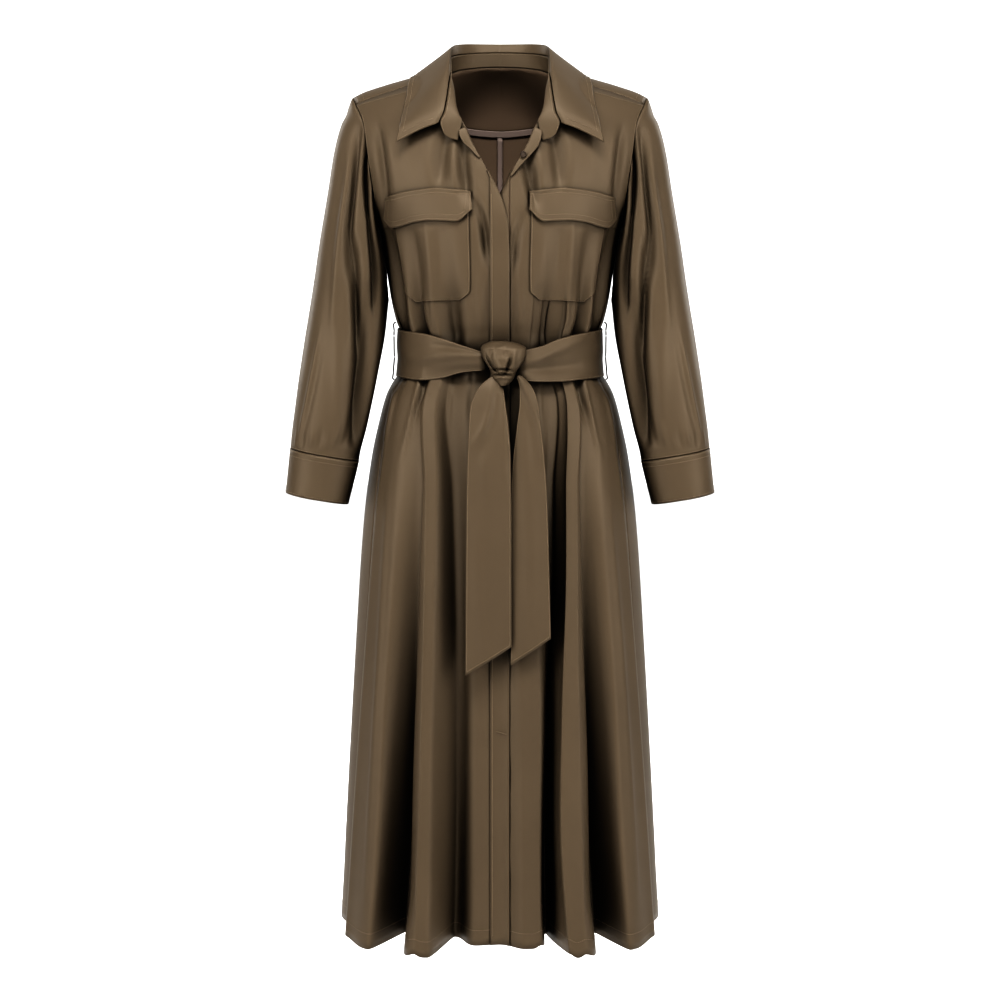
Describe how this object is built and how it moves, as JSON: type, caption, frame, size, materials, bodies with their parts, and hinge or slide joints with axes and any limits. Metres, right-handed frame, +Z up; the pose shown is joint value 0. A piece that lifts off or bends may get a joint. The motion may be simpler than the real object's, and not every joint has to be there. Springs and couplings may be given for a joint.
{
  "type": "shirt dress",
  "caption": "Belted long-sleeved shirt dress with an open collar, flapped chest pockets, a front button placket, a tied belt and a long flared skirt.",
  "frame": {"origin": "midway between the two shoulder and neck points, where the wearer's shoulders carry the dress", "axes": "+Z up along the dress, -Y out of its front, +X towards the wearer's left"},
  "size_m": [0.5956, 0.3394, 1.2444],
  "materials": {
    "olive_satin_crepe": "satin",
    "taupe_binding": "matte",
    "dark_button": "gloss",
    "dark_thread": "matte"
  },
  "bodies": {
    "root": {"front_left": "olive_satin_crepe", "front_right": "olive_satin_crepe", "back_left": "olive_satin_crepe", "back_right": "olive_satin_crepe", "back_yoke": "olive_satin_crepe", "placket_over": "olive_satin_crepe", "placket_under": "olive_satin_crepe", "facing_left": "olive_satin_crepe", "facing_right": "olive_satin_crepe", "sleeve_left": "olive_satin_crepe", "sleeve_right": "olive_satin_crepe", "cuff_left": "olive_satin_crepe", "cuff_right": "olive_satin_crepe", "pocket_left": "olive_satin_crepe", "pocket_right": "olive_satin_crepe", "flap_left": "olive_satin_crepe", "flap_right": "olive_satin_crepe", "collar": "olive_satin_crepe", "collar_stand": "olive_satin_crepe", "belt": "olive_satin_crepe", "belt_knot": "olive_satin_crepe", "belt_tail_left": "olive_satin_crepe", "belt_tail_right": "olive_satin_crepe", "belt_loop_left": "dark_thread", "belt_loop_right": "dark_thread", "top_button": "dark_button", "yoke_binding": "taupe_binding", "back_seam_binding": "taupe_binding"}
  },
  "joints": []
}
